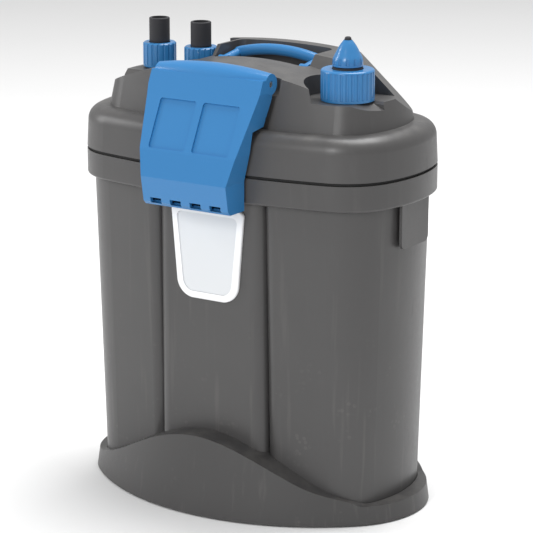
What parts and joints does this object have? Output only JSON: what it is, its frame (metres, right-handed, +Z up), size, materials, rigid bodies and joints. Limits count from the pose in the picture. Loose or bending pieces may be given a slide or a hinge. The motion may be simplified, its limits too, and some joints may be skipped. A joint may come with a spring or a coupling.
{
  "type": "canister filter",
  "caption": "Upright canister filter with a lift-off pump head, side latches, hose nozzles, a screw-in heater and stacked media baskets.",
  "frame": {"origin": "centre of the object's footprint, on the floor", "axes": "+Z up, front with the badge towards -Y, hose nozzles towards -X"},
  "size_m": [0.291, 0.2118, 0.372],
  "materials": {
    "grey_body": "fine-textured moulded",
    "blue_plastic": "satin moulded",
    "badge_white": "gloss moulded",
    "badge_grey": "matt moulded",
    "black_plastic": "matt moulded",
    "inner_plastic": "matt moulded",
    "basket_plastic": "matt moulded",
    "seal_rubber": "matt",
    "foot_rubber": "matt",
    "steel": "turned",
    "magnet": "sintered",
    "ceramic": "fired",
    "epoxy": "potted",
    "winding": "wire",
    "glass": "polished",
    "foam_coarse": "open-cell foam",
    "foam_medium": "open-cell foam",
    "foam_fine": "open-cell foam"
  },
  "bodies": {
    "vessel": {"canister": "grey_body", "base_foot": "grey_body", "rubber_feet": "foot_rubber", "badge_frame": "badge_white", "badge_inlay": "badge_grey", "bottom_grid": "inner_plastic", "riser_pipe": "inner_plastic"},
    "head": {"head_shell": "grey_body", "head_base": "inner_plastic", "head_gasket": "seal_rubber", "head_screws": "steel", "cord_gland": "black_plastic", "front_latch_pin": "steel", "rear_latch_pin": "steel", "handle_pins": "steel", "inlet_nozzle": "black_plastic", "outlet_nozzle": "black_plastic", "nozzle_seals": "seal_rubber", "inlet_duct": "inner_plastic", "outlet_duct": "inner_plastic", "motor_block": "epoxy", "upper_bush": "seal_rubber", "lower_bush": "seal_rubber", "impeller_shaft": "ceramic", "pump_housing": "inner_plastic", "impeller_cover": "inner_plastic", "heater_head": "black_plastic", "heater_tip": "black_plastic", "heater_tube": "glass", "heater_core": "ceramic", "heater_winding": "winding", "heater_guard": "inner_plastic"},
    "rotor": {"rotor_magnet": "magnet", "impeller": "inner_plastic"},
    "front_latch": {"front_latch": "blue_plastic"},
    "rear_latch": {"rear_latch": "blue_plastic"},
    "carry_handle": {"carry_handle": "blue_plastic"},
    "inlet_nut": {"inlet_union_nut": "blue_plastic"},
    "outlet_nut": {"outlet_union_nut": "blue_plastic"},
    "heater_nut": {"heater_nut": "blue_plastic"},
    "temperature_knob": {"temperature_knob": "blue_plastic"},
    "basket_lower": {"lower_basket": "basket_plastic", "lower_foam": "foam_coarse"},
    "basket_middle": {"middle_basket": "basket_plastic", "middle_foam": "foam_medium"},
    "basket_upper": {"upper_basket": "basket_plastic", "upper_foam": "foam_fine"},
    "basket_bail": {"basket_bail": "black_plastic"}
  },
  "joints": [
    {"name": "head_lift", "type": "slide", "parent": "vessel", "child": "head", "axis": [0, 0, 1], "range_m": [0, 0.55]},
    {"name": "front_latch_pivot", "type": "hinge", "parent": "head", "child": "front_latch", "pos_m": [0, -0.062, 0.338], "axis": [-1, 0, 0], "range_deg": [0, 75]},
    {"name": "rear_latch_pivot", "type": "hinge", "parent": "head", "child": "rear_latch", "pos_m": [0, 0.062, 0.325], "axis": [1, 0, 0], "range_deg": [0, 75]},
    {"name": "carry_handle_pivot", "type": "hinge", "parent": "head", "child": "carry_handle", "pos_m": [0, 0.006, 0.3383], "axis": [1, 0, 0], "range_deg": [0, 95]},
    {"name": "inlet_nut_spin", "type": "hinge", "parent": "head", "child": "inlet_nut", "pos_m": [-0.102, 0.01, 0.336], "axis": [0, 0, 1], "continuous": true},
    {"name": "outlet_nut_spin", "type": "hinge", "parent": "head", "child": "outlet_nut", "pos_m": [-0.062, 0.01, 0.336], "axis": [0, 0, 1], "continuous": true},
    {"name": "heater_nut_spin", "type": "hinge", "parent": "head", "child": "heater_nut", "pos_m": [0.0915, -0.02, 0.336], "axis": [0, 0, 1], "continuous": true},
    {"name": "temperature_dial", "type": "hinge", "parent": "head", "child": "temperature_knob", "pos_m": [0.0915, -0.02, 0.36], "axis": [0, 0, 1], "range_deg": [0, 270]},
    {"name": "rotor_spin", "type": "hinge", "parent": "head", "child": "rotor", "pos_m": [0.015, 0, 0.285], "axis": [0, 0, 1], "continuous": true},
    {"name": "lower_basket_lift", "type": "slide", "parent": "vessel", "child": "basket_lower", "axis": [0, 0, 1], "range_m": [0, 0.25]},
    {"name": "middle_basket_lift", "type": "slide", "parent": "vessel", "child": "basket_middle", "axis": [0, 0, 1], "range_m": [0, 0.315]},
    {"name": "upper_basket_lift", "type": "slide", "parent": "vessel", "child": "basket_upper", "axis": [0, 0, 1], "range_m": [0, 0.38]},
    {"name": "basket_bail_pivot", "type": "hinge", "parent": "basket_upper", "child": "basket_bail", "pos_m": [0, 0, 0.2], "axis": [1, 0, 0], "range_deg": [0, 90]}
  ],
  "couplings": [
    {"joint": "lower_basket_lift", "follows": "head_lift", "ratio": 0.4545},
    {"joint": "middle_basket_lift", "follows": "head_lift", "ratio": 0.5727},
    {"joint": "upper_basket_lift", "follows": "head_lift", "ratio": 0.69}
  ]
}
